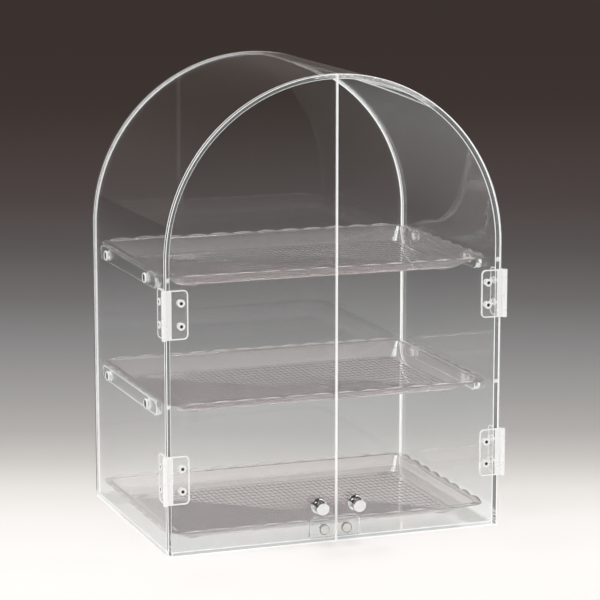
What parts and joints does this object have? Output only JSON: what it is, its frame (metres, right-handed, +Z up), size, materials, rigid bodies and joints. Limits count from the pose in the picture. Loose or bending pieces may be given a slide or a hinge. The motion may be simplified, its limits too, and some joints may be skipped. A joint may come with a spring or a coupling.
{
  "type": "countertop bread display case",
  "caption": "Clear arched countertop display case for bread, with a pair of hinged front doors with knobs, a magnetic catch, side rails and lift-out trays.",
  "frame": {"origin": "Middle of the footprint, on the face that the case stands on.", "axes": "+Z is up, the doors face -Y, and +X is to the right of someone who looks at the doors."},
  "size_m": [0.3522, 0.263, 0.455],
  "materials": {
    "clear_acrylic_sheet": "Clear cast acrylic sheet with flame-polished edges",
    "clear_acrylic_bar": "Clear acrylic bar with polished edges",
    "clear_hinge_plastic": "Clear moulded plastic hinge",
    "clear_tray_plastic": "Clear moulded tray plastic with a faint grey-violet tint",
    "white_nylon": "Natural white moulded nylon",
    "chromed_brass": "Polished chrome plating",
    "nickel_plated_steel": "Bright nickel plating"
  },
  "bodies": {
    "case": {"wrapper_shell": "clear_acrylic_sheet", "back_panel": "clear_acrylic_sheet", "base_panel": "clear_acrylic_sheet", "left_upper_wall_leaf": "clear_hinge_plastic", "left_lower_wall_leaf": "clear_hinge_plastic", "right_upper_wall_leaf": "clear_hinge_plastic", "right_lower_wall_leaf": "clear_hinge_plastic", "left_upper_hinge_pin": "clear_hinge_plastic", "left_lower_hinge_pin": "clear_hinge_plastic", "right_upper_hinge_pin": "clear_hinge_plastic", "right_lower_hinge_pin": "clear_hinge_plastic", "wall_leaf_rivets": "white_nylon", "catch_plate": "clear_acrylic_bar", "catch_magnets": "nickel_plated_steel", "left_upper_rail": "clear_acrylic_bar", "right_upper_rail": "clear_acrylic_bar", "left_lower_rail": "clear_acrylic_bar", "right_lower_rail": "clear_acrylic_bar", "left_upper_rail_pegs": "white_nylon", "right_upper_rail_pegs": "white_nylon", "left_lower_rail_pegs": "white_nylon", "right_lower_rail_pegs": "white_nylon"},
    "left_door": {"left_door": "clear_acrylic_sheet", "left_upper_door_leaf": "clear_hinge_plastic", "left_lower_door_leaf": "clear_hinge_plastic", "left_door_leaf_rivets": "white_nylon", "left_knob": "chromed_brass", "left_knob_screw": "nickel_plated_steel", "left_strike_disc": "nickel_plated_steel"},
    "right_door": {"right_door": "clear_acrylic_sheet", "right_upper_door_leaf": "clear_hinge_plastic", "right_lower_door_leaf": "clear_hinge_plastic", "right_door_leaf_rivets": "white_nylon", "right_knob": "chromed_brass", "right_knob_screw": "nickel_plated_steel", "right_strike_disc": "nickel_plated_steel"},
    "top_tray": {"top_tray": "clear_tray_plastic"},
    "middle_tray": {"middle_tray": "clear_tray_plastic"},
    "bottom_tray": {"bottom_tray": "clear_tray_plastic"}
  },
  "joints": [
    {"name": "left_door_hinge", "type": "hinge", "parent": "case", "child": "left_door", "pos_m": [-0.17365, -0.12715, 0.156], "axis": [0, 0, -1], "range_deg": [0, 260]},
    {"name": "right_door_hinge", "type": "hinge", "parent": "case", "child": "right_door", "pos_m": [0.17365, -0.12715, 0.156], "axis": [0, 0, 1], "range_deg": [0, 260]},
    {"name": "top_tray_lift", "type": "slide", "parent": "case", "child": "top_tray", "axis": [0, 0, 1], "range_m": [0, 0.03]},
    {"name": "middle_tray_lift", "type": "slide", "parent": "case", "child": "middle_tray", "axis": [0, 0, 1], "range_m": [0, 0.1]},
    {"name": "bottom_tray_lift", "type": "slide", "parent": "case", "child": "bottom_tray", "axis": [0, 0, 1], "range_m": [0, 0.1]}
  ]
}
